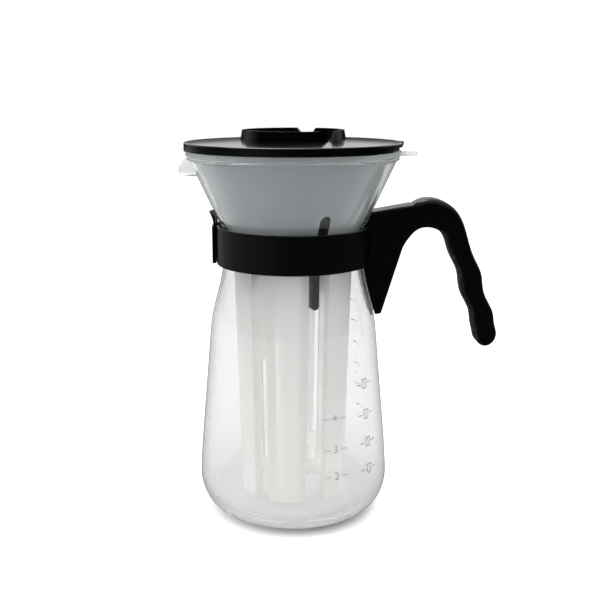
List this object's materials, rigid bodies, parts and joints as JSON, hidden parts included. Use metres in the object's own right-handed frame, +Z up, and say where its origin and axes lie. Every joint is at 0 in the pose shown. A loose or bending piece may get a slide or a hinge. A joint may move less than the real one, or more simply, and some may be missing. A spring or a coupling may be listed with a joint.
{
  "type": "pour-over iced coffee maker",
  "caption": "Glass server with a spout and a strap handle; lift-out ice strainer, finned dripper cone and lid with a grip ring nest in its mouth, and a clip closes the strap",
  "frame": {"origin": "the centre of the server's foot, on the plane that the flat foot rests on", "axes": "+Z is up, +X is the handle's side, -X is the spout's side; angles go round +Z from the handle"},
  "size_m": [0.185, 0.1236, 0.2248],
  "materials": {
    "glass": "clear, polished",
    "black_plastic": "satin black",
    "pin_steel": "plain drawn",
    "frosted_plastic": "milky translucent",
    "dark_plastic": "smoky black, slightly translucent",
    "lid_plastic": "glossy black"
  },
  "bodies": {
    "server": {"glass_server": "glass", "strap": "black_plastic", "clip_pin": "pin_steel", "handle": "black_plastic"},
    "strap_clip": {"clip": "black_plastic"},
    "strainer": {"ice_strainer": "frosted_plastic"},
    "dripper_cone": {"dripper": "dark_plastic"},
    "cover": {"lid": "lid_plastic"}
  },
  "joints": [
    {"name": "clip_swing", "type": "hinge", "parent": "server", "child": "strap_clip", "pos_m": [-0.04425, 0.01524, 0.1598], "axis": [0, 0, -1], "range_deg": [0, 100]},
    {"name": "strainer_lift", "type": "slide", "parent": "server", "child": "strainer", "axis": [0, 0, 1], "range_m": [0, 0.215]},
    {"name": "dripper_lift", "type": "slide", "parent": "strainer", "child": "dripper_cone", "axis": [0, 0, 1], "range_m": [0, 0.095]},
    {"name": "lid_lift", "type": "slide", "parent": "dripper_cone", "child": "cover", "axis": [0, 0, 1], "range_m": [0, 0.06]}
  ]
}
